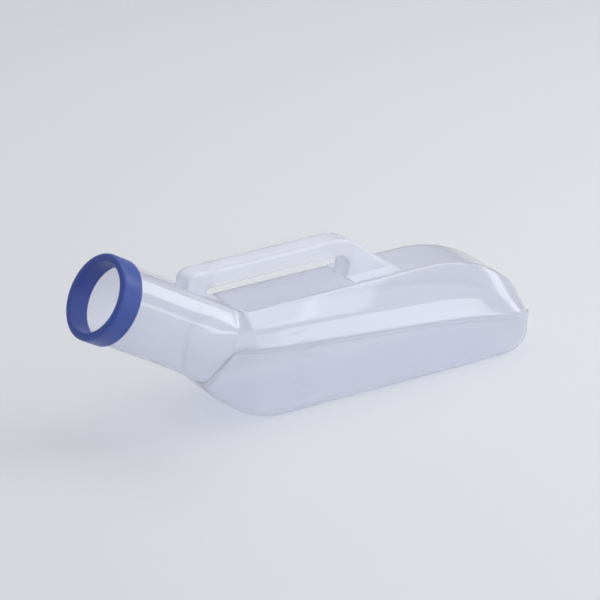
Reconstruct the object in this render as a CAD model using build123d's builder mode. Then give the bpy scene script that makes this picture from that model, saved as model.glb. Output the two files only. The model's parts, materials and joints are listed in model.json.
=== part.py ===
from build123d import *
import math
import os

# Lying male urine bottle: clear two-part body, clear carrying handle, blue mouth collar.
# Millimetres, +Z up. The origin is the middle of the flat base, and the mouth points to -X.

# ---- body ----
base_flat_length = 187.0     # flat underside, chin end to rear end
chin_overhang = 21.0         # from the front of the flat base to the valley behind the neck
rear_overhang = 25.0         # from the rear of the flat base to the rearmost point
rear_depth = 85.0            # length over which the rear end rounds off
body_width = 78.6            # over the belt
base_width = 74.0            # over the corners of the base
deck_width = 38.8            # flat top between its two creases
deck_height = 77.7           # top of the flat deck
shoulder_width = 66.5        # over the crease between deck and belt
belt_height = 56.5           # seam line above the base, at the valley
belt_fall = 5.3              # degrees the seam line falls towards the rear
shoulder_rise = 14.0         # shoulder crease above the seam line
chin_height = 4.2            # underside above the base, straight below the valley
end_height = 26.0            # height of the rearmost point
valley_fullness = 0.93       # width at the valley, as a share of the full width
chin_fullness = 0.975        # the same halfway to the flat base
chin_share = 0.3             # height left there of the chin at the valley
rear_width_powers = (6, 0.22)    # how the rear end narrows in plan
rear_top_power = 0.6             # how the deck comes down
rear_under_share = 0.95          # how far the underside rises
rear_least_radius = 2.8
rear_turns = (15, 30, 52, 60, 67, 74, 80)    # degrees round the rear end, one section each
base_corner_radius = 9.0
side_corner_radius = 10.0    # belt and shoulder creases
deck_corner_radius = 3.5
base_trim = 0.6              # stock below the base that is cut away flat

# ---- walls and seam ----
wall = 1.6                   # upper shell
lap_step = 0.8               # how far the lower shell stands proud of the upper one
tongue_height = 3.5          # tongue of the upper shell, inside the rim of the lower one
tongue_inset = 1.2           # rim of the lower shell outside the tongue
rear_seam_height = 27.5      # seam line at the rearmost point
seam_corner_radius = 14.0
seam_bend_radius = 200.0     # where the seam turns down round the rear end
least_radius = 0.4           # least corner radius of an inset section

# ---- neck ----
neck_tilt = 30.6             # degrees above the horizontal
neck_radius = 27.6
neck_length = 101.0          # from the valley plane to the rim
valley_radius = 3.0          # rounding in the valley between neck and deck
neck_roundness = 0.985       # corner radius of the neck's section, as a share of its radius
flare_length = 28.0          # round neck blends into the body over this length
notch_drop = 1.2             # chin stands this far below the neck's underside

# Section in the valley plane, in neck radii: deck, shoulder, belt and base corner.
valley_sides = (0.48, 1.0, 1.12, 0.58)
valley_drops = (0.0, 0.42, 1.2, 2.0)
valley_radii = (0.36, 0.5, 0.72, 0.8)
fan_steps = 5                # sections between the valley plane and the upright

# ---- mouth collar ----
collar_wall = 3.1            # thickness around the neck
collar_sleeve_wall = 1.05    # thickness inside the neck
collar_grip = 14.2           # length over the neck
collar_sleeve = 13.0         # length inside the neck
collar_lip = 2.0             # thickness in front of the rim
collar_clearance = 0.05
collar_edge_radius = 2.4
collar_back_radius = 1.0
collar_hole_edge_radius = 1.2
collar_radius = neck_radius + collar_wall
sleeve_radius = neck_radius - wall - collar_clearance
collar_hole_radius = sleeve_radius - collar_sleeve_wall

# ---- handle ----
grip_depth = 13.0
finger_room = 17.8           # from the deck up to the grip
grip_height = deck_height + finger_room + grip_depth
grip_width = 17.0
handle_front = -152.0        # front face of the front leg
handle_rear = 13.5           # where the rear leg meets the deck
rear_shoulder = -24.0        # corner where the grip turns down into the rear leg
gap_front = -136.5           # finger gap
gap_rear = -22.5
gap_lean = 3.0               # its ends lean out by this much towards the deck
handle_wall = 2.4
rear_web = 10.0              # solid stretch between the grip's channel and the rear leg's pocket
handle_edge_radius = 2.5
handle_front_radius = 7.0
handle_rear_radius = 35.0
gap_front_radius = 3.0
gap_rear_radius = 9.0
foot_pad_thickness = 1.5
foot_pad_margin = 1.6        # deck left free on each side of the pad

# ---- graduations ----
mark_spacing = 5.9           # height of one hundred millilitres
mark_count = 10
mark_long = 16.0
mark_short = 9.0
mark_thickness = 0.9
mark_relief = 0.4
mark_rear = -72.0            # rear ends of the marks

tilt = math.radians(neck_tilt)
valley_x = -(base_flat_length / 2 + chin_overhang)
chin_end = -base_flat_length / 2
base_end = base_flat_length / 2
rear_x = base_end + rear_overhang
deck_end = rear_x - rear_depth
cavity_inset = lap_step + wall
outward = Vector(-math.cos(tilt), 0, math.sin(tilt))
upward = Vector(math.sin(tilt), 0, math.cos(tilt))
pivot = Vector(valley_x, 0, deck_height + valley_radius)
neck_top = pivot - upward * valley_radius
neck_root = neck_top - upward * neck_radius
rim_centre = neck_root + outward * neck_length
half_span = body_width                       # reaches past both sides
beyond = base_flat_length + deck_height      # reaches past the bottle in every direction


def belt_at(x):
    return belt_height - math.tan(math.radians(belt_fall)) * (x - valley_x)


def blend(start, end, share):
    return start + (end - start) * share


def section_plane(origin, angle):
    return Plane(origin=origin, x_dir=(0, 1, 0), z_dir=(math.cos(angle), 0, -math.sin(angle)))


# Right half of an upright section: deck, shoulder, belt and base corners.
def body_half(x, bottom, fullness=1.0):
    return [
        (deck_width / 2, deck_height + lap_step),
        (fullness * shoulder_width / 2, belt_at(x) + shoulder_rise),
        (fullness * body_width / 2, belt_at(x)),
        (fullness * base_width / 2, bottom),
    ]


# A station is a section plane, the right half of its eight-sided outline and the four corner
# radii. Together they describe the outside of the lower shell, carried on over the whole body.
def neck_station(distance):
    radius = neck_radius + lap_step
    side = radius * math.tan(math.pi / 8)
    low = -neck_radius
    half = [(side, low + radius), (radius, low + side), (radius, low - side), (side, low - radius)]
    return section_plane(neck_top + outward * distance, tilt), half, [neck_roundness * radius] * 4


def fan_station(share):
    neck_half = [(side * neck_radius, -drop * neck_radius) for side, drop in zip(valley_sides, valley_drops)]
    neck_half[0] = (neck_half[0][0], lap_step)
    neck_half[3] = (neck_half[3][0], neck_half[3][1] - lap_step - notch_drop)
    upright = [(y, z - deck_height) for y, z in body_half(valley_x, chin_height, valley_fullness)]
    half = []
    for at_neck, at_body in zip(neck_half, upright):
        height = blend(at_neck[1], at_body[1], share)
        half.append((blend(at_neck[0], at_body[0], share), height - valley_radius))
    radii = [blend(a * neck_radius, b, share) for a, b in zip(valley_radii, body_radii)]
    return section_plane(pivot, tilt * (1 - share)), half, radii


def rear_station(x):
    reach = end_sine * (x - deck_end) / rear_depth
    share_width = (1 - reach ** rear_width_powers[0]) ** rear_width_powers[1]
    share_top = (1 - reach ** 2) ** rear_top_power
    under = rear_under_share * max(0.0, (x - base_end) / rear_overhang)
    share_bottom = math.sqrt(1 - under ** 2)
    half = []
    for y, z in body_half(x, -base_trim):
        share = share_top if z > end_height else share_bottom
        half.append((y * share_width, end_height + (z - end_height) * share))
    radii = [max(radius * share_width * share_bottom, rear_least_radius) for radius in body_radii]
    return section_plane((x, 0, 0), 0), half, radii


body_radii = [deck_corner_radius, side_corner_radius, side_corner_radius, base_corner_radius]
chin_middle = (valley_x + chin_end) / 2
chin_half = body_half(chin_middle, chin_share * chin_height, chin_fullness)
end_sine = math.sin(math.radians(rear_turns[-1]))
base_turn = math.degrees(math.asin(end_sine * (base_end - deck_end) / rear_depth))

stations = [neck_station(neck_length), neck_station(flare_length)]
for step in range(fan_steps + 1):
    stations.append(fan_station(step / fan_steps))
stations.append((section_plane((chin_middle, 0, 0), 0), chin_half, body_radii))
for x in (chin_end, deck_end):
    stations.append((section_plane((x, 0, 0), 0), body_half(x, -base_trim), body_radii))
for turn in sorted((base_turn, *rear_turns)):
    stations.append(rear_station(deck_end + rear_depth * math.sin(math.radians(turn)) / end_sine))


def inset_outline(points, inset):
    moved = []
    for index, corner in enumerate(points):
        arriving = (corner - points[index - 1]).normalized()
        leaving = (points[(index + 1) % len(points)] - corner).normalized()
        side_in = Vector(-arriving.Y, arriving.X)
        side_out = Vector(-leaving.Y, leaving.X)
        moved.append(corner + (side_in + side_out) * (inset / (1 + side_in.dot(side_out))))
    return moved


# Solid through the stations, with every outline moved in by the inset and the first by the overrun.
def skin(inset, first_station=0, overrun=0.0):
    with BuildPart() as solid:
        for number, (plane, half, radii) in enumerate(stations[first_station:]):
            right = [Vector(y, z) for y, z in reversed(half)]
            left = [Vector(-y, z) for y, z in half]
            corner_radii = [max(radius - inset, least_radius) for radius in list(reversed(radii)) + radii]
            behind = max(0.0, (plane.origin.X - deck_end) / rear_depth)
            move = -overrun if number == 0 else -inset * behind ** 2
            with BuildSketch(plane.offset(move)):
                with BuildLine():
                    FilletPolyline(*inset_outline(right + left, inset), radius=corner_radii, close=True)
                make_face()
        loft(ruled=True)
    return solid.part


# Everything behind the valley plane and below the seam line, moved in from the seam by the drop.
def seam_zone(drop):
    fall = math.radians(belt_fall)
    start = pivot - outward * drop
    line_drop = drop / math.cos(fall)
    rise = start.Z - belt_at(start.X) + line_drop
    corner = start - upward * (rise / (math.cos(tilt) + math.tan(fall) * math.sin(tilt)))
    fall_rear = (belt_at(deck_end) - rear_seam_height) / rear_depth
    far_x = rear_x + rear_depth
    far_z = rear_seam_height - fall_rear * rear_depth - drop * math.sqrt(1 + fall_rear ** 2)
    foot = start - upward * beyond
    with BuildPart() as zone:
        with BuildSketch(Plane.XZ):
            with BuildLine():
                FilletPolyline(
                    (corner.X, corner.Z),
                    (foot.X, foot.Z),
                    (far_x, foot.Z),
                    (far_x, far_z),
                    (deck_end, belt_at(deck_end) - line_drop),
                    radius=[seam_corner_radius - drop, 0, 0, 0, seam_bend_radius - drop],
                    close=True,
                )
            make_face()
        extrude(amount=half_span, both=True)
    return zone.part


def mark_level(level):
    return cavity_inset - base_trim + level * mark_spacing


# Raised marks on both sides of a shell, one level each.
def mark_bars(levels):
    with BuildPart() as bars:
        for level in levels:
            length = mark_long if level % 2 == 0 else mark_short
            with Locations((mark_rear - length / 2, 0, mark_level(level))):
                Box(length, 2 * half_span, mark_thickness)
    return bars.part


outer_skin = skin(0, first_station=2)
upper_skin = skin(lap_step)
tongue_skin = skin(tongue_inset)
cavity = skin(cavity_inset, overrun=wall)
rim_zone = seam_zone(0)
tub_zone = seam_zone(tongue_height)
lower_face = skin(-mark_relief, first_station=2)
upper_face = skin(lap_step - mark_relief)
rim_at_marks = belt_at(mark_rear - mark_long / 2)
lower_levels = [n for n in range(1, mark_count + 1) if mark_level(n) < rim_at_marks - tongue_height / 2]
upper_levels = [n for n in range(1, mark_count + 1) if mark_level(n) > rim_at_marks + mark_thickness]

with BuildPart() as lower_marks:
    add(lower_face)
    add(mark_bars(lower_levels), mode=Mode.INTERSECT)
with BuildPart() as upper_marks:
    add(upper_face)
    add(mark_bars(upper_levels), mode=Mode.INTERSECT)
with BuildPart() as tongue:
    add(tongue_skin)
    add(rim_zone, mode=Mode.INTERSECT)
    add(tub_zone, mode=Mode.SUBTRACT)

# ---- lower shell: flat base, chin and sides up to the seam, with a rabbet round its rim ----
with BuildPart() as lower_shell:
    add(outer_skin)
    add(rim_zone, mode=Mode.INTERSECT)
    with Locations((0, 0, deck_height)):
        Box(2 * beyond, 2 * half_span, 2 * deck_height, mode=Mode.INTERSECT)
    add(lower_marks.part)
    add(tongue.part, mode=Mode.SUBTRACT)
    add(cavity, mode=Mode.SUBTRACT)
lower_shell.part.label = "lower_shell"

# ---- upper shell: deck, shoulders, flare and round neck, with a tongue below the seam ----
with BuildPart() as upper_shell:
    add(upper_skin)
    add(upper_marks.part)
    add(rim_zone, mode=Mode.SUBTRACT)
    add(tongue.part)
    add(cavity, mode=Mode.SUBTRACT)
upper_shell.part.label = "upper_shell"

# ---- mouth collar: soft ring that grips the rim inside and out, with a rounded lip ----
collar_plane = Plane(origin=rim_centre, x_dir=upward, z_dir=upward.cross(outward))
bore_radius = neck_radius + collar_clearance
with BuildPart() as mouth_collar:
    with BuildSketch(collar_plane):
        with BuildLine():
            FilletPolyline(
                (bore_radius, -collar_grip),
                (collar_radius, -collar_grip),
                (collar_radius, collar_lip),
                (collar_hole_radius, collar_lip),
                (collar_hole_radius, -collar_sleeve),
                (sleeve_radius, -collar_sleeve),
                (sleeve_radius, collar_clearance),
                (bore_radius, collar_clearance),
                radius=[0, collar_back_radius, collar_edge_radius, collar_hole_edge_radius, 0, 0, 0, 0],
                close=True,
            )
        make_face()
    revolve(axis=Axis(rim_centre, outward))
mouth_collar.part.label = "mouth_collar"

# ---- grip handle: loop moulded open from below, standing on the neck and the deck ----
leg_foot = deck_height / 2
slope_run = handle_rear - rear_shoulder
slope = (grip_height - deck_height) / slope_run


def handle_outline(inset):
    slant = inset * math.sqrt(1 + slope ** 2) / slope
    top = grip_height - inset
    shoulder = rear_shoulder + inset / slope - slant
    tail = handle_rear - slant
    low_tail = tail + (deck_height - leg_foot) / slope
    front = handle_front + inset
    return [(front, leg_foot), (front, top), (shoulder, top), (low_tail, leg_foot)]


with BuildPart() as grip_handle:
    with BuildSketch(Plane.XZ):
        with BuildLine():
            outer_radii = [0, handle_front_radius, handle_rear_radius, 0]
            FilletPolyline(*handle_outline(0), radius=outer_radii, close=True)
        make_face()
    extrude(amount=grip_width / 2, both=True)
    sides = grip_handle.faces().sort_by(Axis.Y)
    fillet(sides[0].edges() + sides[-1].edges(), handle_edge_radius)
    pad_length = handle_rear - gap_rear + gap_lean
    with Locations((handle_rear - pad_length / 2, 0, deck_height)):
        Box(pad_length, deck_width - 2 * foot_pad_margin, 2 * foot_pad_thickness)
    with BuildSketch(Plane.XZ):
        with BuildLine():
            FilletPolyline(
                (gap_front - gap_lean, leg_foot),
                (gap_front, grip_height - grip_depth),
                (gap_rear, grip_height - grip_depth),
                (gap_rear - gap_lean, deck_height + foot_pad_thickness),
                (gap_rear - gap_lean, leg_foot),
                radius=[0, gap_front_radius, gap_rear_radius, 0, 0],
                close=True,
            )
        make_face()
    extrude(amount=half_span, both=True, mode=Mode.SUBTRACT)
    with BuildSketch(Plane.XZ):
        with BuildLine():
            inner_radii = [0, handle_front_radius - handle_wall, handle_rear_radius - handle_wall, 0]
            FilletPolyline(*handle_outline(handle_wall), radius=inner_radii, close=True)
        make_face()
        front_web = (gap_front - handle_wall, gap_front + 2 * handle_wall)
        back_web = (gap_rear - rear_web, gap_rear + handle_wall)
        for start, end in (front_web, back_web):
            with Locations(((start + end) / 2, grip_height)):
                Rectangle(end - start, 2 * beyond, mode=Mode.SUBTRACT)
    extrude(amount=grip_width / 2 - handle_wall, both=True, mode=Mode.SUBTRACT)
    add(upper_skin, mode=Mode.SUBTRACT)
grip_handle.part.label = "grip_handle"

os.makedirs("parts", exist_ok=True)
for piece in (lower_shell, upper_shell, mouth_collar, grip_handle):
    export_step(piece.part, f"parts/{piece.part.label}.step")
    print(piece.part.label, len(piece.part.solids()), round(piece.part.volume))
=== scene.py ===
import bpy
import bmesh
import json
import math
import numpy as np
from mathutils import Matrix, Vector
from mathutils.bvhtree import BVHTree


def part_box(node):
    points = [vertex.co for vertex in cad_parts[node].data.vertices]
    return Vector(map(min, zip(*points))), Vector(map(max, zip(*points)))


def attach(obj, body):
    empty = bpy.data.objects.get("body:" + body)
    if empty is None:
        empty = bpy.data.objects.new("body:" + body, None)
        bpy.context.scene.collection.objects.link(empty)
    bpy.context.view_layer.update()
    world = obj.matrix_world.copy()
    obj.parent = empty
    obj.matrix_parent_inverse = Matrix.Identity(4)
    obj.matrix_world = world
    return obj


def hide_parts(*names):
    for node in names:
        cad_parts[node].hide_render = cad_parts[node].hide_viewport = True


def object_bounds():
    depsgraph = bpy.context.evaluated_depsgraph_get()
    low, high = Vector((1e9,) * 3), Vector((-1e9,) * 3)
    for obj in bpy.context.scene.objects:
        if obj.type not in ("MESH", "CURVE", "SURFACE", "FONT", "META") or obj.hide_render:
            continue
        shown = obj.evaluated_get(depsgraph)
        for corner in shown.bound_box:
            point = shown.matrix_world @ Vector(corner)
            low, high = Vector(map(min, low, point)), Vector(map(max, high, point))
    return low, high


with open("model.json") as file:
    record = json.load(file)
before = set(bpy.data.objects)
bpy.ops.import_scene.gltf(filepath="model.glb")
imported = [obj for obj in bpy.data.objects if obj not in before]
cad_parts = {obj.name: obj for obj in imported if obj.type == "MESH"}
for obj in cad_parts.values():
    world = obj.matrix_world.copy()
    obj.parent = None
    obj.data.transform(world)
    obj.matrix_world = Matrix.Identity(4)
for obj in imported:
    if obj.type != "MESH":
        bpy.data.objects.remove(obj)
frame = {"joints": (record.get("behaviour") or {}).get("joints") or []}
cadLow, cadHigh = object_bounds()

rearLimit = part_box("lower_shell")[1].x               # rearmost point of the frame's body
pull = frame["joints"][0]
outward = Vector(pull["axis"]).normalized()          # along the neck, out of the mouth
upward = Vector((outward.z, 0, -outward.x))          # square to the neck, away from the base
tilt = math.atan2(outward.z, -outward.x)
tiny = 1e-12                                         # keeps divisions safe


def newGroup(name, inputs, outputs):
    group = bpy.data.node_groups.new(name, "ShaderNodeTree")
    for label, kind, default in inputs:
        socket = group.interface.new_socket(label, in_out="INPUT", socket_type=kind)
        socket.default_value = default
    for label, kind in outputs:
        group.interface.new_socket(label, in_out="OUTPUT", socket_type=kind)
    start = group.nodes.new("NodeGroupInput")
    end = group.nodes.new("NodeGroupOutput")
    return group, start, end


def addMath(nodes, links, operation, first, second):
    node = nodes.new("ShaderNodeMath")
    node.operation = operation
    for socket, value in zip(node.inputs, (first, second)):
        if isinstance(value, (int, float)):
            socket.default_value = value
        else:
            links.new(value, socket)
    return node.outputs[0]


moulding = {
    "flowScale": (9, 26, 26),     # flow waves are longer along the bottle
    "flowDetail": 2.0,
    "grainScale": 900,
    "grainDetail": 3.0,
    "hazeScale": 42,
    "hazeDetail": 5.0,
    "hazeRoughness": 0.6,
    "hazeFrom": 0.45,
    "hazeTo": 0.72,
    "bumpStrength": 0.35,
    "bumpDistance": 0.0012,
}


def addNoise(nodes, scale, detail):
    noise = nodes.new("ShaderNodeTexNoise")
    noise.inputs["Scale"].default_value = scale
    noise.inputs["Detail"].default_value = detail
    return noise


def makeMouldedGroup():
    # moulded plastic: long soft flow waves, a fine grain, and light handling haze
    group, start, end = newGroup(
        "mouldedPlastic",
        [
            ("Base Roughness", "NodeSocketFloat", 0.05),
            ("Haze", "NodeSocketFloat", 0.05),
            ("Wave Height", "NodeSocketFloat", 0.3),
            ("Grain Height", "NodeSocketFloat", 0.05),
            ("Colour A", "NodeSocketColor", (1, 1, 1, 1)),
            ("Colour B", "NodeSocketColor", (0.9, 0.9, 0.95, 1)),
        ],
        [("Color", "NodeSocketColor"), ("Roughness", "NodeSocketFloat"), ("Normal", "NodeSocketVector")],
    )
    nodes, links = group.nodes, group.links
    place = nodes.new("ShaderNodeTexCoord")
    stretch = nodes.new("ShaderNodeMapping")
    stretch.inputs["Scale"].default_value = moulding["flowScale"]
    links.new(place.outputs["Object"], stretch.inputs["Vector"])
    wave = addNoise(nodes, 1.0, moulding["flowDetail"])
    links.new(stretch.outputs[0], wave.inputs["Vector"])
    grain = addNoise(nodes, moulding["grainScale"], moulding["grainDetail"])
    links.new(place.outputs["Object"], grain.inputs["Vector"])
    smear = addNoise(nodes, moulding["hazeScale"], moulding["hazeDetail"])
    smear.inputs["Roughness"].default_value = moulding["hazeRoughness"]
    links.new(place.outputs["Object"], smear.inputs["Vector"])
    haze = nodes.new("ShaderNodeMapRange")
    haze.inputs["From Min"].default_value = moulding["hazeFrom"]
    haze.inputs["From Max"].default_value = moulding["hazeTo"]
    links.new(smear.outputs["Fac"], haze.inputs["Value"])
    hazed = addMath(nodes, links, "MULTIPLY", haze.outputs[0], start.outputs["Haze"])
    rough = addMath(nodes, links, "ADD", start.outputs["Base Roughness"], hazed)
    links.new(rough, end.inputs["Roughness"])
    mix = nodes.new("ShaderNodeMix")
    mix.data_type = "RGBA"
    links.new(wave.outputs["Fac"], mix.inputs["Factor"])
    links.new(start.outputs["Colour A"], mix.inputs[6])
    links.new(start.outputs["Colour B"], mix.inputs[7])
    links.new(mix.outputs[2], end.inputs["Color"])
    waved = addMath(nodes, links, "MULTIPLY", wave.outputs["Fac"], start.outputs["Wave Height"])
    grained = addMath(nodes, links, "MULTIPLY", grain.outputs["Fac"], start.outputs["Grain Height"])
    height = addMath(nodes, links, "ADD", waved, grained)
    bump = nodes.new("ShaderNodeBump")
    bump.inputs["Strength"].default_value = moulding["bumpStrength"]
    bump.inputs["Distance"].default_value = moulding["bumpDistance"]
    links.new(height, bump.inputs["Height"])
    links.new(bump.outputs[0], end.inputs["Normal"])
    return group


mouldedGroup = makeMouldedGroup()


def addClearShadow(material, shader, tint):
    # lamps reach what is behind the clear walls, dimmed a little by each face
    nodes, links = material.node_tree.nodes, material.node_tree.links
    path = nodes.new("ShaderNodeLightPath")
    clear = nodes.new("ShaderNodeBsdfTransparent")
    clear.inputs["Color"].default_value = (*tint, 1)
    mix = nodes.new("ShaderNodeMixShader")
    links.new(path.outputs["Is Shadow Ray"], mix.inputs["Fac"])
    links.new(shader.outputs[0], mix.inputs[1])
    links.new(clear.outputs[0], mix.inputs[2])
    links.new(mix.outputs[0], nodes["Material Output"].inputs["Surface"])


def makePlastic(name, look):
    material = bpy.data.materials.new(name)
    material.use_nodes = True
    nodes, links = material.node_tree.nodes, material.node_tree.links
    shader = nodes["Principled BSDF"]
    moulded = nodes.new("ShaderNodeGroup")
    moulded.node_tree = mouldedGroup
    for label in ("Base Roughness", "Haze", "Wave Height", "Grain Height", "Colour A", "Colour B"):
        moulded.inputs[label].default_value = look[label]
    links.new(moulded.outputs["Color"], shader.inputs["Base Color"])
    links.new(moulded.outputs["Roughness"], shader.inputs["Roughness"])
    links.new(moulded.outputs["Normal"], shader.inputs["Normal"])
    for label, value in look["shader"].items():
        shader.inputs[label].default_value = value
    if "shadowTint" in look:
        addClearShadow(material, shader, look["shadowTint"])
    return material


clearShell = makePlastic("clearShell", {
    "shadowTint": (0.915, 0.920, 0.945),
    "Base Roughness": 0.11,
    "Haze": 0.05,
    "Wave Height": 0.5,
    "Grain Height": 0.02,
    "Colour A": (0.845, 0.85, 0.905, 1),
    "Colour B": (0.815, 0.822, 0.885, 1),
    "shader": {"Transmission Weight": 0.78, "IOR": 1.49, "Metallic": 0.0},
})
clearHandle = makePlastic("clearHandle", {
    "shadowTint": (0.915, 0.920, 0.945),
    "Base Roughness": 0.08,
    "Haze": 0.08,
    "Wave Height": 0.3,
    "Grain Height": 0.03,
    "Colour A": (0.90, 0.905, 0.945, 1),
    "Colour B": (0.86, 0.87, 0.93, 1),
    "shader": {"Transmission Weight": 0.66, "IOR": 1.49, "Metallic": 0.0},
})
raisedMark = makePlastic("raisedMark", {
    "shadowTint": (0.960, 0.963, 0.975),
    "Base Roughness": 0.12,
    "Haze": 0.1,
    "Wave Height": 0.0,
    "Grain Height": 0.05,
    "Colour A": (0.80, 0.82, 0.90, 1),
    "Colour B": (0.76, 0.78, 0.88, 1),
    "shader": {"Transmission Weight": 0.8, "IOR": 1.49, "Metallic": 0.0},
})
blueCollar = makePlastic("blueCollar", {
    "Base Roughness": 0.36,
    "Haze": 0.12,
    "Wave Height": 0.2,
    "Grain Height": 0.35,
    "Colour A": (0.030, 0.065, 0.30, 1),
    "Colour B": (0.045, 0.085, 0.36, 1),
    "shader": {
        "Subsurface Weight": 0.12,
        "Subsurface Scale": 0.004,
        "Subsurface Radius": (0.3, 0.4, 1.0),
        "Sheen Weight": 0.12,
        "Sheen Roughness": 0.4,
    },
})
print("materials made")


# outline of the bottle, in metres; the mouth points to -X
bottle = {
    "baseFlat": 0.187,            # flat underside
    "chinOverhang": 0.021,
    "rearOverhang": 0.025,
    "rearDepth": 0.085,           # length over which the rear end rounds off
    "beltHalf": 0.0393,
    "baseHalf": 0.0370,
    "deckHalf": 0.0194,
    "shoulderHalf": 0.03325,
    "deckHeight": 0.0777,
    "beltHeight": 0.0565,         # at the valley
    "beltFall": 5.3,              # degrees
    "shoulderRise": 0.014,
    "chinHeight": 0.0042,
    "endHeight": 0.026,
    "valleyFullness": 0.93,
    "valleyRadius": 0.003,
    "neckRadius": 0.0276,
    "neckLength": 0.101,
    "flareLength": 0.028,
    "notchDrop": 0.0012,
    "seamCorner": 0.014,
    "lapStep": 0.0008,            # how far the lower shell stands proud of the upper one
    "wall": 0.0016,
    "tongueInset": 0.00125,       # tongue of the upper shell, inside the rim of the lower one
    "rimInset": 0.00112,
    "tongueHeight": 0.0033,
    # four corners of a section: deck, shoulder, belt, base
    "cornerRadii": (0.0040, 0.012, 0.011, 0.010),
    "valleySides": (0.48, 1.0, 1.12, 0.58),           # in neck radii, as are the next two
    "valleyDrops": (0.0, 0.42, 1.2, 2.0),
    "valleyRadii": (0.36, 0.5, 0.72, 0.8),
    "neckRoundness": 0.98,
    "chinShare": 0.3,             # height left of the chin halfway to the flat base
    "chinFullness": 0.01,         # added to the mean width there
    "rearWidthPowers": (6, 0.22), # how the rear end narrows in plan
    "rearTopPower": 0.6,          # how the deck comes down there
    "rearRadiusShare": 0.05,      # least share of the corner radii at the rear end
}
valleyX = -(bottle["baseFlat"] / 2 + bottle["chinOverhang"])
baseEnd = bottle["baseFlat"] / 2
rearX = min(baseEnd + bottle["rearOverhang"], rearLimit)
deckEnd = rearX - bottle["rearDepth"]
pivot = Vector((valleyX, 0, bottle["deckHeight"] + bottle["valleyRadius"]))
shellInset = bottle["lapStep"] + bottle["wall"]


def beltAt(x):
    return bottle["beltHeight"] - math.tan(math.radians(bottle["beltFall"])) * (x - valleyX)


def uprightHalf(x, bottom, fullness=1.0):
    # deck, shoulder, belt and base corners of the right half, heights from the pivot
    top = pivot.z
    return [
        (bottle["deckHalf"], bottle["deckHeight"] + bottle["lapStep"] - top),
        (fullness * bottle["shoulderHalf"], beltAt(x) + bottle["shoulderRise"] - top),
        (fullness * bottle["beltHalf"], beltAt(x) - top),
        (fullness * bottle["baseHalf"], bottom - top),
    ]


def neckHalf():
    # the same four corners on the round neck, from the deck's side round to the underside
    radius = bottle["neckRadius"] + bottle["lapStep"]
    side = radius * math.tan(math.pi / 8)
    middle = -bottle["neckRadius"] - bottle["valleyRadius"]
    half = [(side, middle + radius), (radius, middle + side)]
    half += [(radius, middle - side), (side, middle - radius)]
    return half, [bottle["neckRoundness"] * radius] * 4


def seamReach(angle):
    # from the pivot down to the seam line, along a ray turned forward by the angle:
    # up the valley plane, round a corner and back along the belt
    fall = math.radians(bottle["beltFall"])
    drop = pivot.z - bottle["beltHeight"]
    straight = drop / (math.cos(angle) + math.tan(fall) * math.sin(angle))
    corner = drop / (math.cos(tilt) + math.tan(fall) * math.sin(tilt))
    turn = math.pi / 2 - tilt + fall
    tangent = bottle["seamCorner"] * math.tan(turn / 2)
    downPlane = Vector((-math.sin(tilt), -math.cos(tilt)))
    intoBody = Vector((math.cos(tilt), -math.sin(tilt)))
    middle = downPlane * (corner + tangent) + intoBody * bottle["seamCorner"]
    ray = Vector((-math.sin(angle), -math.cos(angle)))
    along = ray.dot(middle)
    inside = along ** 2 - middle.length_squared + bottle["seamCorner"] ** 2
    if inside < 0:
        return straight
    touch = along - math.sqrt(inside)
    onBelt = ray * touch
    beltTouch = downPlane * corner + Vector((math.cos(fall), -math.sin(fall))) * tangent
    return touch if onBelt.x < beltTouch.x else straight


def blendTo(first, second, share):
    return first + (second - first) * share


def fanHalf(share):
    # between the end of the neck at 0 and the upright section in the valley at 1
    radius = bottle["neckRadius"]
    shifts = (bottle["lapStep"], 0, 0, -bottle["lapStep"] - bottle["notchDrop"])
    atNeck = []
    for side, drop, shift in zip(bottle["valleySides"], bottle["valleyDrops"], shifts):
        atNeck.append((side * radius, shift - drop * radius - bottle["valleyRadius"]))
    neckRadii = [part * radius for part in bottle["valleyRadii"]]
    atBody = uprightHalf(valleyX, bottle["chinHeight"], bottle["valleyFullness"])
    half = blendTo(np.array(atNeck), np.array(atBody), share)
    half[2, 1] = -seamReach(tilt * (1 - share))
    radii = blendTo(np.array(neckRadii), np.array(bottle["cornerRadii"]), share)
    return half, radii


def rearHalf(reach):
    # reach runs from 0 where the deck starts to fall to 1 at the rearmost point
    x = deckEnd + bottle["rearDepth"] * reach
    flatness, bluntness = bottle["rearWidthPowers"]
    shareWidth = max(1 - reach ** flatness, 0) ** bluntness
    shareTop = max(1 - reach ** 2, 0) ** bottle["rearTopPower"]
    under = max(0.0, (x - baseEnd) / (rearX - baseEnd))
    shareBottom = math.sqrt(max(1 - under ** 2, 0))
    half = []
    for y, v in uprightHalf(x, 0):
        rise = v + pivot.z - bottle["endHeight"]
        share = shareTop if rise > 0 else shareBottom
        half.append((y * shareWidth, bottle["endHeight"] + rise * share - pivot.z))
    radiusShare = max(shareWidth * shareBottom, bottle["rearRadiusShare"])
    radii = [radius * radiusShare for radius in bottle["cornerRadii"]]
    return half, radii


def smoothThrough(keys, values, at):
    # monotone cubic through the keys
    keys, values = np.array(keys, float), np.array(values, float)
    step = np.diff(keys)
    slope = np.diff(values, axis=0) / step[:, None]
    tangent = np.zeros_like(values)
    tangent[0], tangent[-1] = slope[0], slope[-1]
    before, after = slope[:-1], slope[1:]
    same = before * after > 0
    total = np.where(np.abs(before + after) > tiny, before + after, tiny)
    weighed = 2 * before * after / total
    tangent[1:-1] = np.where(same, weighed, 0)
    index = np.clip(np.searchsorted(keys, at, side="right") - 1, 0, len(keys) - 2)
    width = step[index][:, None]
    t = ((at - keys[index])[:, None]) / width
    return (
        (2 * t ** 3 - 3 * t ** 2 + 1) * values[index]
        + (t ** 3 - 2 * t ** 2 + t) * width * tangent[index]
        + (-2 * t ** 3 + 3 * t ** 2) * values[index + 1]
        + (t ** 3 - t ** 2) * width * tangent[index + 1]
    )


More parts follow.
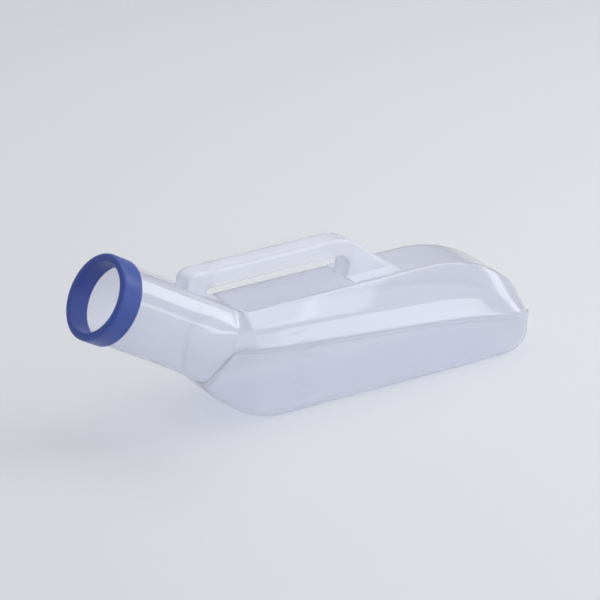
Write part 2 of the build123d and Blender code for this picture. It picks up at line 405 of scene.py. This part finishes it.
def smoothShare(share):
    return share * share * (3 - 2 * share)


# how finely the surface is divided, in rings along the bottle and columns round each ring
grid = {
    "neckRows": 16,
    "flareRows": 16,
    "fanRows": 26,
    "chinRows": 14,
    "deckRows": 24,
    "rearRows": 64,
    "fanCrowding": 1.3,           # rings of the fan stand closer near the seam
    "seamGap": 0.00012,           # between the two shells
    "lapReach": 0.3,              # most that the lap and the gap may take of a short side
    "gapReach": 0.02,
    "cornerReach": 0.49,          # most that a rounded corner may take of a side
    "leastSide": 1e-7,            # below these a corner stays sharp
    "leastBend": 1e-3,
    "deckColumns": 8,
    "deckArc": 7,
    "slopeColumns": 8,
    "shoulderArc": 8,
    "beltColumns": 6,
    "beltArc": 5,
    "lapColumns": 3,
    "sideColumns": 14,
    "baseArc": 9,
    "baseColumns": 9,
}


def makeRings():
    # every ring lies in a plane through (originX, originZ), turned by angle, with four corners and radii
    rings = []
    neck, neckRadii = neckHalf()
    fan, fanRadii = fanHalf(0)
    straight = np.linspace(bottle["neckLength"], bottle["flareLength"], grid["neckRows"])
    flare = np.linspace(bottle["flareLength"], 0, grid["flareRows"] + 1)[1:]
    for distance in [*straight, *flare]:
        share = smoothShare(min(distance / bottle["flareLength"], 1))
        half = blendTo(np.array(fan), np.array(neck), share)
        radii = blendTo(np.array(fanRadii), np.array(neckRadii), share)
        origin = pivot + outward * distance
        rings.append((origin.x, origin.z, tilt, half, radii))
    front = len(rings) - 1                           # the ring where the lower shell starts
    reachDown = 2 * bottle["neckRadius"] * tilt      # length of the fan along the underside
    lap = bottle["tongueHeight"] / reachDown
    gap = grid["seamGap"] / reachDown
    shares = [gap, lap / 2, lap, lap + 2 * gap]
    shares += list(lap + (1 - lap) * np.linspace(0, 1, grid["fanRows"])[1:] ** grid["fanCrowding"])
    for share in shares:
        half, radii = fanHalf(share)
        rings.append((pivot.x, pivot.z, tilt * (1 - share), np.array(half), np.array(radii)))
    chinEnd = -bottle["baseFlat"] / 2
    chinMiddle = (valleyX + chinEnd) / 2
    chinFullness = (1 + bottle["valleyFullness"]) / 2 + bottle["chinFullness"]
    keys = [valleyX, chinMiddle, chinEnd, deckEnd]
    halves = [
        uprightHalf(valleyX, bottle["chinHeight"], bottle["valleyFullness"]),
        uprightHalf(chinMiddle, bottle["chinShare"] * bottle["chinHeight"], chinFullness),
        uprightHalf(chinEnd, 0),
        uprightHalf(deckEnd, 0),
    ]
    places = [*np.linspace(valleyX, chinEnd, grid["chinRows"] + 1)[1:]]
    places += [*np.linspace(chinEnd, deckEnd, grid["deckRows"] + 1)[1:]]
    between = smoothThrough(keys, [np.ravel(half) for half in halves], np.array(places))
    for x, values in zip(places, between):
        rings.append((x, pivot.z, 0.0, values.reshape(4, 2), np.array(bottle["cornerRadii"])))
    for step in range(1, grid["rearRows"] + 1):
        turn = math.pi / 2 * (1 - (1 - step / grid["rearRows"]) ** 2)
        half, radii = rearHalf(min(math.sin(turn), 1.0))
        x = deckEnd + bottle["rearDepth"] * math.sin(turn)
        rings.append((x, pivot.z, 0.0, np.array(half), np.array(radii)))
    return rings, front


def arcPoints(before, corner, after, radius, count):
    # rounded corner between two sides; the radius shrinks where the sides are short
    back, on = before - corner, after - corner
    backLength, onLength = np.linalg.norm(back), np.linalg.norm(on)
    if min(backLength, onLength) < grid["leastSide"]:
        return np.repeat(corner[None], count, axis=0)
    back, on = back / backLength, on / onLength
    opening = math.acos(max(-1, min(1, float(back @ on))))
    if opening > math.pi - grid["leastBend"]:
        return np.repeat(corner[None], count, axis=0)
    shortest = min(backLength, onLength)
    reach = min(radius / math.tan(opening / 2), grid["cornerReach"] * shortest)
    radius = reach * math.tan(opening / 2)
    middle = corner + (back + on) / np.linalg.norm(back + on) * (radius / math.sin(opening / 2))
    first, last = corner + back * reach - middle, corner + on * reach - middle
    sweep = math.pi - opening
    points = []
    for share in np.linspace(0, 1, count):
        spoke = math.sin((1 - share) * sweep) * first + math.sin(share * sweep) * last
        points.append(middle + spoke / math.sin(sweep))
    return np.array(points)


def alongPath(path, places):
    # points at the given lengths along a polyline
    lengths = np.concatenate([[0], np.cumsum(np.linalg.norm(np.diff(path, axis=0), axis=1))])
    return np.stack([np.interp(places, lengths, path[:, axis]) for axis in range(2)], axis=1)


def pathLength(path):
    return float(np.sum(np.linalg.norm(np.diff(path, axis=0), axis=1)))


def halfOutline(half, radii):
    # from the middle of the deck round to the middle of the base, the same columns in every ring
    top = np.array([0.0, half[0][1]])
    bottom = np.array([0.0, half[3][1]])
    corners = [top, *half, bottom]
    counts = (grid["deckArc"], grid["shoulderArc"], 2 * grid["beltArc"] - 1, grid["baseArc"])
    arcs = []
    for number, (radius, count) in enumerate(zip(radii, counts)):
        arcs.append(arcPoints(*corners[number : number + 3], radius, count))
    deck, shoulder, belt, base = arcs
    middle = grid["beltArc"] - 1
    above = [
        np.linspace(top, deck[0], grid["deckColumns"])[:-1],
        deck[:-1],
        np.linspace(deck[-1], shoulder[0], grid["slopeColumns"])[:-1],
        shoulder[:-1],
        np.linspace(shoulder[-1], belt[0], grid["beltColumns"])[:-1],
        belt[:middle],
    ]
    seam = sum(len(part) for part in above)
    side = np.concatenate([belt[middle:], base[:1]])
    room = pathLength(side)
    lap = min(bottle["tongueHeight"], grid["lapReach"] * room)
    gap = min(grid["seamGap"], grid["gapReach"] * room)
    places = [0.0, gap, *np.linspace(gap, lap, grid["lapColumns"])[1:], lap + 2 * gap]
    lapEnd = len(places) - 2
    places += list(np.linspace(lap + 2 * gap, room, grid["sideColumns"])[1:-1])
    below = [
        alongPath(side, places),
        base[:-1],
        np.linspace(base[-1], bottom, grid["baseColumns"]),
    ]
    return np.concatenate(above + below), seam, seam + lapEnd


rings, frontRow = makeRings()
surface = []
for originX, originZ, angle, half, radii in rings:
    outline, seamColumn, lapColumn = halfOutline(half, radii)
    along = np.array([math.sin(angle), 0, math.cos(angle)])
    right = np.array([originX, 0, originZ]) + outline[:, 1:] * along + outline[:, :1] * np.array([0, 1, 0])
    left = right[-2:0:-1] * np.array([1, -1, 1])
    surface.append(np.concatenate([right, left]))
surface = np.array(surface)
rowCount, ringCount = surface.shape[:2]
acrossRings = np.gradient(surface, axis=0)
aroundRing = np.roll(surface, -1, axis=1) - np.roll(surface, 1, axis=1)
surfaceNormal = np.cross(aroundRing, acrossRings)
length = np.linalg.norm(surfaceNormal, axis=2, keepdims=True)
surfaceNormal = surfaceNormal / np.maximum(length, tiny)
surfaceNormal[-1] = (1, 0, 0)
middleRow = rowCount // 2
if surfaceNormal[middleRow, 0, 2] < 0:
    surfaceNormal[:-1] *= -1
print("body surface:", rowCount, "rings of", ringCount)

lapRow = frontRow + 3             # ring at the end of the tongue, under the neck
# depth of each wall face below the lower shell's outside
insets = {
    "outer": 0.0,
    "upper": bottle["lapStep"],
    "rim": bottle["rimInset"],
    "tongue": bottle["tongueInset"],
    "inner": shellInset,
}
weldDistance = 2e-7               # points closer than this become one


def finishMesh(obj, sharpAngle=38):
    # smooth shading, broken only at edges sharper than the angle in degrees
    mesh = obj.data
    for polygon in mesh.polygons:
        polygon.use_smooth = True
    mesh.set_sharp_from_angle(angle=math.radians(sharpAngle))
    return obj


def meshObject(name, vertices, faces, material):
    mesh = bpy.data.meshes.new(name)
    mesh.from_pydata([tuple(v) for v in vertices], [], faces)
    mesh.validate()
    work = bmesh.new()
    work.from_mesh(mesh)
    bmesh.ops.remove_doubles(work, verts=work.verts, dist=weldDistance)
    bmesh.ops.dissolve_degenerate(work, edges=work.edges, dist=weldDistance / 2)
    bmesh.ops.recalc_face_normals(work, faces=work.faces)
    work.to_mesh(mesh)
    work.free()
    mesh.materials.append(material)
    obj = bpy.data.objects.new(name, mesh)
    bpy.context.scene.collection.objects.link(obj)
    return obj


def bandFaces(first, second, count):
    # four-sided faces between two closed rings of points, numbered from first and from second
    around = [(number, (number + 1) % count) for number in range(count)]
    return [(first + here, first + there, second + there, second + here) for here, there in around]


def buildShell(name, cellLevels, material):
    # cellLevels gives the outer and inner inset of a cell, or None where the piece has no wall
    vertices, faces, known = [], [], {}

    def vertex(row, column, level):
        column = 0 if row == rowCount - 1 else column % ringCount
        key = (row, column, level)
        if key not in known:
            known[key] = len(vertices)
            vertices.append(surface[row, column] - surfaceNormal[row, column] * insets[level])
        return known[key]

    def face(corners):
        loop = []
        for corner in corners:
            number = vertex(*corner)
            if number not in loop:
                loop.append(number)
        if len(loop) > 2:
            faces.append(loop)

    for row in range(rowCount - 1):
        for column in range(ringCount):
            levels = cellLevels(row, column)
            if levels is None:
                continue
            square = [(row, column), (row, column + 1), (row + 1, column + 1), (row + 1, column)]
            for level, order in ((levels[0], square), (levels[1], square[::-1])):
                face([(*corner, level) for corner in order])
            sides = (
                ((row - 1, column), square[0], square[1]),
                ((row, column + 1), square[1], square[2]),
                ((row + 1, column), square[2], square[3]),
                ((row, column - 1), square[3], square[0]),
            )
            for (nextRow, nextColumn), start, end in sides:
                if nextRow == rowCount - 1:
                    continue
                other = None if nextRow < 0 else cellLevels(nextRow, nextColumn % ringCount)
                if other is None:
                    face([(*start, levels[0]), (*end, levels[0]), (*end, levels[1]), (*start, levels[1])])
                    continue
                if (nextRow, nextColumn % ringCount) < (row, column):
                    continue
                for mine, theirs in zip(levels, other):
                    if mine != theirs:
                        face([(*start, mine), (*end, mine), (*end, theirs), (*start, theirs)])
    obj = meshObject(name, vertices, faces, material)
    return finishMesh(obj)


def depthBelowSeam(row, column):
    # 0 above the seam, 1 in the gap, 2 in the lap, 3 under the tongue, 4 beyond
    column = min(column, ringCount - 1 - column)
    if row < frontRow or column < seamColumn:
        return 0
    across = 1 + sum(column >= edge for edge in (seamColumn + 1, lapColumn, lapColumn + 1))
    behind = 1 + sum(row >= edge for edge in (frontRow + 1, lapRow, lapRow + 1))
    return min(across, behind)


def upperLevels(row, column):
    depth = depthBelowSeam(row, column)
    return ("upper", "inner") if depth == 0 else ("tongue", "inner") if depth < 3 else None


def lowerLevels(row, column):
    depth = depthBelowSeam(row, column)
    return None if depth < 2 else ("outer", "rim") if depth < 4 else ("outer", "inner")


def register(obj, body, node):
    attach(obj, body)
    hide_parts(node)


upperShell = buildShell("upperBody", upperLevels, clearShell)
lowerShell = buildShell("lowerBody", lowerLevels, clearShell)
register(upperShell, "bottle", "upper_shell")
register(lowerShell, "bottle", "lower_shell")
print("shells built")


collar = {
    "radius": 0.0307,
    "hole": 0.0249,
    "grip": 0.0142,               # length over the neck
    "sleeve": 0.0130,             # length inside the neck
    "lip": 0.0020,
    "clearance": 0.00005,
    "outerEdge": 0.0024,
    "holeEdge": 0.0012,
    "backEdge": 0.0010,
    "boreEdge": 0.0003,
    "sleeveEdges": (0.0004, 0.0003),
    "draft": 0.0002,              # the outside narrows by this much towards the back
    "segments": 192,
    "arc": 9,
    "sharpAngle": 30,
}
rimCentre = pivot - upward * (bottle["valleyRadius"] + bottle["neckRadius"])
rimCentre += outward * bottle["neckLength"]


def roundedPath(points, radii, count):
    # closed outline with rounded corners; a radius of 0 leaves a corner sharp
    outline = []
    points = [np.array(point, float) for point in points]
    for number, (corner, radius) in enumerate(zip(points, radii)):
        if radius == 0:
            outline.append(corner)
        else:
            after = points[(number + 1) % len(points)]
            outline.extend(arcPoints(points[number - 1], corner, after, radius, count))
    return np.array(outline)


def lathe(name, profile, segments, material):
    # turns (radius, height) points about the middle of the neck, heights from the rim
    vertices, faces = [], []
    sideways = Vector((0, 1, 0))
    for step in range(segments):
        turn = 2 * math.pi * step / segments
        spoke = upward * math.cos(turn) + sideways * math.sin(turn)
        for radius, height in profile:
            vertices.append(rimCentre + spoke * radius + outward * height)
    count = len(profile)
    for step in range(segments):
        faces += bandFaces(step * count, (step + 1) % segments * count, count)
    return finishMesh(meshObject(name, vertices, faces, material), collar["sharpAngle"])


def makeCollar():
    bore = bottle["neckRadius"] + collar["clearance"]
    sleeve = bottle["neckRadius"] - bottle["wall"] - collar["clearance"]
    points = [
        (bore, -collar["grip"]),
        (collar["radius"] - collar["draft"], -collar["grip"]),
        (collar["radius"], collar["lip"]),
        (collar["hole"], collar["lip"]),
        (collar["hole"], -collar["sleeve"]),
        (sleeve, -collar["sleeve"]),
        (sleeve, collar["clearance"]),
        (bore, collar["clearance"]),
    ]
    edges = [collar[label] for label in ("boreEdge", "backEdge", "outerEdge", "holeEdge")]
    radii = [*edges, *collar["sleeveEdges"], 0, 0]
    ring = lathe("mouthRing", roundedPath(points, radii, collar["arc"]), collar["segments"], blueCollar)
    register(ring, "collar", "mouth_collar")


makeCollar()
print("collar built")


handle = {
    "top": 0.1085,
    "depth": 0.013,
    "width": 0.017,
    "front": -0.152,
    "rear": 0.0135,
    "rearShoulder": -0.024,
    "gapFront": -0.1365,
    "gapRear": -0.0225,
    "gapLean": 0.003,             # both ends of the gap stand this much further forward at the deck
    "wall": 0.0024,
    "edge": 0.0025,
    "gapEdge": 0.0014,
    "frontCorner": 0.007,
    "rearCorner": 0.035,
    "gapFrontCorner": 0.003,
    "gapRearCorner": 0.009,
    "rearWeb": 0.010,
    "padThickness": 0.0015,
    "padMargin": 0.0016,
    "padCorner": 0.0022,
    "padEdge": 0.0006,
    "pocketEdge": 0.0010,
    "pocketCorner": 0.0012,
    "frontPocketCorners": (0.0045, 0.0006),
    "footDepth": 0.008,           # stock that is cut away below the deck
    "clearance": 0.00006,
    "outerArc": 14,
    "gapArc": 10,
    "pocketArc": 8,
    "edgeArc": 7,
    "sharpAngle": 32,
}


def insetDirections(outline):
    # for each point of a closed outline, the move that shifts both of its sides inwards by one
    arriving = outline - np.roll(outline, 1, axis=0)
    leaving = np.roll(outline, -1, axis=0) - outline
    arriving /= np.maximum(np.linalg.norm(arriving, axis=1, keepdims=True), tiny)
    leaving /= np.maximum(np.linalg.norm(leaving, axis=1, keepdims=True), tiny)
    area = np.sum(outline[:, 0] * np.roll(outline[:, 1], -1) - outline[:, 1] * np.roll(outline[:, 0], -1))
    side = 1 if area > 0 else -1
    first = np.stack([-arriving[:, 1], arriving[:, 0]], axis=1) * side
    second = np.stack([-leaving[:, 1], leaving[:, 0]], axis=1) * side
    return (first + second) / (1 + np.sum(first * second, axis=1, keepdims=True))


def cushionedPrism(name, outline, edges, low, high, toWorld, bothEnds=True):
    # a prism whose end edges are rounded; edges holds one radius for each point of the outline
    inward = insetDirections(outline)
    edges = np.broadcast_to(np.asarray(edges, float), (len(outline),))
    layers = []
    for turn in np.linspace(math.pi / 2, 0, handle["edgeArc"]):
        shift = (edges * (1 - math.cos(turn)))[:, None] * inward
        layers.append((outline + shift, high - edges * (1 - math.sin(turn))))
    if bothEnds:
        layers += [(flat, low + (high - level)) for flat, level in layers[::-1]]
    else:
        layers.append((outline, np.full(len(outline), low)))
    vertices = [toWorld(u, v, w) for flat, level in layers for (u, v), w in zip(flat, level)]
    total = len(outline)
    faces = [tuple(range(total)), tuple(range(len(vertices) - total, len(vertices)))[::-1]]
    for layer in range(len(layers) - 1):
        faces += bandFaces(layer * total, (layer + 1) * total, total)
    return meshObject(name, vertices, faces, clearHandle)


# a prism's outline (u, v) and height w, standing up along the bottle or lying on the deck
def upright(u, v, w):
    return Vector((u, w, v))


def lying(u, v, w):
    return Vector((u, v, w))


def combine(obj, other, operation):
    cut = obj.modifiers.new("combine", "BOOLEAN")
    cut.operation = operation
    cut.solver = "EXACT"
    cut.object = other
    bpy.context.view_layer.update()
    result = bpy.data.meshes.new_from_object(obj.evaluated_get(bpy.context.evaluated_depsgraph_get()))
    obj.modifiers.clear()
    obj.data = result
    bpy.data.objects.remove(other)


def bodySolid(inset):
    # the body's outer surface from the neck to past the handle, as a solid that cuts its feet to shape
    past = handle["rear"] + handle["depth"]
    last = next(row for row in range(frontRow, rowCount) if rings[row][0] > past)
    rows = range(grid["neckRows"] // 3, last + 1)    # from a third of the way down the straight neck
    points = (surface - surfaceNormal * inset)[rows.start : rows.stop]
    vertices = [Vector(point) for ring in points for point in ring]
    faces = [tuple(range(ringCount)), tuple(range(len(vertices) - ringCount, len(vertices)))[::-1]]
    for row in range(len(rows) - 1):
        faces += bandFaces(row * ringCount, (row + 1) * ringCount, ringCount)
    return meshObject("bodyCutter", vertices, faces, clearHandle)


def handleSide(inset):
    # outer side profile, moved in by the inset
    foot = bottle["deckHeight"] - handle["footDepth"]
    slope = (handle["top"] - bottle["deckHeight"]) / (handle["rear"] - handle["rearShoulder"])
    slant = inset * math.sqrt(1 + slope ** 2) / slope
    top = handle["top"] - inset
    shoulder = handle["rearShoulder"] + inset / slope - slant
    lowTail = handle["rear"] - slant + (bottle["deckHeight"] - foot) / slope
    front = handle["front"] + inset
    return [(front, foot), (front, top), (shoulder, top), (lowTail, foot)]


def makeHandle():
    foot = bottle["deckHeight"] - handle["footDepth"]
    low = handle["top"] - handle["depth"]
    outerCorners = [0, handle["frontCorner"], handle["rearCorner"], 0]
    outer = roundedPath(handleSide(0), outerCorners, handle["outerArc"])
    gap = roundedPath(
        [
            (handle["gapRear"] - handle["gapLean"], foot),
            (handle["gapRear"] - handle["gapLean"], bottle["deckHeight"] + handle["padThickness"]),
            (handle["gapRear"], low),
            (handle["gapFront"], low),
            (handle["gapFront"] - handle["gapLean"], foot),
        ],
        [0, 0, handle["gapRearCorner"], handle["gapFrontCorner"], 0],
        handle["gapArc"],
    )
    outline = np.concatenate([outer, gap])
    edges = [handle["edge"]] * len(outer) + [handle["gapEdge"]] * len(gap)
    half = handle["width"] / 2
    grip = cushionedPrism("gripLoop", outline, edges, -half, half, upright)
    padFront = handle["gapRear"] - handle["gapLean"]
    padHalf = bottle["deckHalf"] - handle["padMargin"]
    padOutline = roundedPath(
        [(padFront, -padHalf), (handle["rear"], -padHalf), (handle["rear"], padHalf), (padFront, padHalf)],
        [handle["padCorner"]] * 4,
        handle["pocketArc"],
    )
    padTop = bottle["deckHeight"] + handle["padThickness"]
    padLow = padTop - handle["footDepth"]
    pad = cushionedPrism("footPad", padOutline, handle["padEdge"], padLow, padTop, lying, False)
    combine(grip, pad, "UNION")
    # the loop is hollow: a pocket over the front leg, the channel of the grip, and one over the rear leg
    pocketHalf = half - handle["wall"]
    legRear = handle["gapFront"] - handle["wall"]
    channelFront = handle["gapFront"] + 2 * handle["wall"]
    channelRear = handle["gapRear"] - handle["rearWeb"]
    rearFront = handle["gapRear"] + handle["wall"]
    (front, _), (_, top), shoulder, lowTail = handleSide(handle["wall"])
    fall = (lowTail[1] - shoulder[1]) / (lowTail[0] - shoulder[0])
    rearTop = top + fall * (rearFront - shoulder[0])
    corner = handle["pocketCorner"]
    frontPocket = [(front, foot), (front, top), (legRear, top), (legRear, foot)]
    channel = [(channelFront, foot), (channelFront, top), (channelRear, top), (channelRear, foot)]
    rearPocket = [(rearFront, foot), (rearFront, rearTop), lowTail]
    pockets = (
        (frontPocket, [0, *handle["frontPocketCorners"], 0]),
        (channel, [0, corner, corner, 0]),
        (rearPocket, [0, corner, 0]),
    )
    for number, (points, radii) in enumerate(pockets):
        hollow = roundedPath(points, radii, handle["pocketArc"])
        edge = handle["pocketEdge"]
        cutter = cushionedPrism(f"pocket{number}", hollow, edge, -pocketHalf, pocketHalf, upright)
        combine(grip, cutter, "DIFFERENCE")
    combine(grip, bodySolid(bottle["lapStep"] - handle["clearance"]), "DIFFERENCE")
    grip.name = "carryHandle"
    finishMesh(grip, handle["sharpAngle"])
    shading = grip.modifiers.new("evenShading", "WEIGHTED_NORMAL")
    shading.keep_sharp = True
    register(grip, "bottle", "grip_handle")


makeHandle()
print("handle built")


# raised graduation marks on both sides
marks = {
    "spacing": 0.0059,
    "count": 10,
    "lift": 0.0018,               # the zero level above the underside
    "long": 0.016,
    "short": 0.009,
    "thickness": 0.0009,
    "relief": 0.0004,
    "rear": -0.072,
    "gap": 0.00002,               # keeps the marks off the wall's own face
    "steps": 21,
    "arc": 9,
    "leastFullness": 0.02,        # at the very tip
    "rayStart": 0.2,              # well outside the body
    "sharpAngle": 50,
}


def placeOnWall(walls, x, sideways, height):
    # nearest point of the shells seen from the side, and the way out of the wall there
    start = Vector((x, sideways * marks["rayStart"], height))
    hits = []
    for wall in walls:
        place, normal, _, distance = wall.ray_cast(start, Vector((0, -sideways, 0)))
        if place is not None:
            hits.append((distance, place, normal))
    _, place, normal = min(hits, key=lambda hit: hit[0])
    return place, -normal if normal.y * sideways < 0 else normal


def makeMarks():
    depsgraph = bpy.context.evaluated_depsgraph_get()
    walls = [BVHTree.FromObject(shell, depsgraph) for shell in (lowerShell, upperShell)]
    vertices, faces = [], []
    for sideways in (-1, 1):
        for level in range(1, marks["count"] + 1):
            length = marks["long"] if level % 2 == 0 else marks["short"]
            height = marks["lift"] + level * marks["spacing"]
            start = len(vertices)
            for step in range(marks["steps"]):
                share = 2 * step / (marks["steps"] - 1) - 1
                # the ends are rounded in plan
                endRoom = (1 - abs(share)) * length / 2
                pinch = max(0, 1 - endRoom / (marks["thickness"] / 2))
                fullness = math.sqrt(max(1 - pinch ** 2, marks["leastFullness"] ** 2))
                x = marks["rear"] - length / 2 * (1 - share)
                place, normal = placeOnWall(walls, x, sideways, height)
                across = normal.cross(Vector((1, 0, 0))).normalized()
                for number in range(marks["arc"]):
                    turn = math.pi * number / (marks["arc"] - 1)
                    wide = math.cos(turn) * marks["thickness"] / 2 * fullness
                    proud = marks["gap"] + math.sin(turn) * marks["relief"] * fullness
                    vertices.append(place + across * wide + normal * proud)
            count = marks["arc"]
            for step in range(marks["steps"] - 1):
                first = start + step * count
                faces += bandFaces(first, first + count, count)
            faces.append(tuple(range(start, start + count)))
            last = start + (marks["steps"] - 1) * count
            faces.append(tuple(range(last, last + count))[::-1])
    scale = finishMesh(meshObject("graduationMarks", vertices, faces, raisedMark), marks["sharpAngle"])
    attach(scale, "bottle")


makeMarks()
print("graduations built")


studio = {
    "floorColour": (0.74, 0.75, 0.77),
    "floorRoughness": 0.7,
    "floorSize": 6.0,
    "floorGap": 0.00005,
    "speckle": 0.985,             # darkest part of the floor, as a share of its colour
    "speckleScale": 3.0,
    "sky": (0.93, 0.95, 1.0),
    "horizon": (0.80, 0.82, 0.88),
    "ground": (0.42, 0.44, 0.50),
    "stops": (0.42, 0.55, 0.85),  # where ground, horizon and sky stand from below to overhead
    "worldStrength": 0.42,
    "backdrop": (0.66, 0.67, 0.69),
    "azimuth": -32.0,
    "elevation": 24.0,
    "distance": 3.0,
    "lens": 262.0,
    "farEnd": 50,
    "transmissionBounces": 20,    # light crosses many clear walls
    "mostBounces": 24,
    # place from the bottle's middle, width and height, watts, colour
    "lights": {
        "overheadBox": ((0.35, 0.35, 1.5), (2.6, 1.3), 14, (1, 1, 1)),
        "shoulderStrip": ((0.75, -0.80, 1.15), (2.6, 0.42), 5.5, (1, 1, 1)),
        "beltBox": ((0.87, -1.53, 0.33), (1.3, 0.4), 4, (1, 1, 1)),
        "frontFill": ((-0.9, -1.5, 0.9), (1.2, 1.0), 5, (0.95, 0.97, 1.0)),
        "endStrip": ((1.5, -0.3, 0.7), (0.4, 1.2), 4, (1, 1, 1)),
    },
}
centre = (cadLow + cadHigh) / 2


def makeFloor():
    material = bpy.data.materials.new("paleFloor")
    material.use_nodes = True
    nodes, links = material.node_tree.nodes, material.node_tree.links
    shader = nodes["Principled BSDF"]
    shader.inputs["Roughness"].default_value = studio["floorRoughness"]
    place = nodes.new("ShaderNodeTexCoord")
    speckle = nodes.new("ShaderNodeTexNoise")
    speckle.inputs["Scale"].default_value = studio["speckleScale"]
    links.new(place.outputs["Object"], speckle.inputs["Vector"])
    tint = nodes.new("ShaderNodeMix")
    tint.data_type = "RGBA"
    colour = studio["floorColour"]
    tint.inputs[6].default_value = (*colour, 1)
    tint.inputs[7].default_value = (*[studio["speckle"] * part for part in colour], 1)
    links.new(speckle.outputs["Fac"], tint.inputs["Factor"])
    links.new(tint.outputs[2], shader.inputs["Base Color"])
    half = studio["floorSize"] / 2
    low = cadLow.z - studio["floorGap"]
    corners = [(-half, -half, low), (half, -half, low), (half, half, low), (-half, half, low)]
    floor = meshObject("studioFloor", corners, [(0, 1, 2, 3)], material)


def makeWorld():
    world = bpy.data.worlds.new("studioWorld")
    bpy.context.scene.world = world
    world.use_nodes = True
    nodes, links = world.node_tree.nodes, world.node_tree.links
    place = nodes.new("ShaderNodeTexCoord")
    split = nodes.new("ShaderNodeSeparateXYZ")
    ramp = nodes.new("ShaderNodeValToRGB")
    links.new(place.outputs["Generated"], split.inputs[0])
    level = nodes.new("ShaderNodeMapRange")
    level.inputs["From Min"].default_value = -1
    level.inputs["From Max"].default_value = 1
    links.new(split.outputs["Z"], level.inputs["Value"])
    links.new(level.outputs[0], ramp.inputs["Fac"])
    stops = ramp.color_ramp.elements
    groundStop, horizonStop, skyStop = studio["stops"]
    stops[0].position, stops[0].color = groundStop, (*studio["ground"], 1)
    stops[1].position, stops[1].color = skyStop, (*studio["sky"], 1)
    middle = stops.new(horizonStop)
    middle.color = (*studio["horizon"], 1)
    back = nodes["Background"]
    links.new(ramp.outputs["Color"], back.inputs["Color"])
    back.inputs["Strength"].default_value = studio["worldStrength"]
    # seen straight from the camera, the surroundings are a plain pale backdrop
    path = nodes.new("ShaderNodeLightPath")
    backdrop = nodes.new("ShaderNodeBackground")
    backdrop.inputs["Color"].default_value = (*studio["backdrop"], 1)
    mix = nodes.new("ShaderNodeMixShader")
    links.new(path.outputs["Is Camera Ray"], mix.inputs["Fac"])
    links.new(back.outputs[0], mix.inputs[1])
    links.new(backdrop.outputs[0], mix.inputs[2])
    links.new(mix.outputs[0], nodes["World Output"].inputs["Surface"])


def addAreaLight(name, offset, size, energy, colour):
    lamp = bpy.data.lights.new(name, "AREA")
    lamp.shape = "RECTANGLE"
    lamp.size, lamp.size_y = size
    lamp.energy = energy
    lamp.color = colour
    obj = bpy.data.objects.new(name, lamp)
    bpy.context.scene.collection.objects.link(obj)
    obj.location = centre + Vector(offset)
    obj.rotation_euler = (-Vector(offset)).to_track_quat("-Z", "Y").to_euler()


def makeCamera():
    azimuth, elevation = math.radians(studio["azimuth"]), math.radians(studio["elevation"])
    level = math.cos(elevation)
    back = Vector((math.sin(azimuth) * level, -math.cos(azimuth) * level, math.sin(elevation)))
    data = bpy.data.cameras.new("studioCamera")
    data.lens = studio["lens"]
    data.clip_end = studio["farEnd"]
    camera = bpy.data.objects.new("studioCamera", data)
    bpy.context.scene.collection.objects.link(camera)
    camera.location = centre + back * studio["distance"]
    camera.rotation_euler = (-back).to_track_quat("-Z", "Y").to_euler()
    bpy.context.scene.camera = camera


makeFloor()
makeWorld()
for name, (offset, size, energy, colour) in studio["lights"].items():
    addAreaLight(name, offset, size, energy, colour)
makeCamera()
scene = bpy.context.scene
scene.view_settings.view_transform = "Standard"
scene.cycles.transmission_bounces = studio["transmissionBounces"]
scene.cycles.max_bounces = studio["mostBounces"]
scene.cycles.transparent_max_bounces = studio["mostBounces"]
print("studio set")
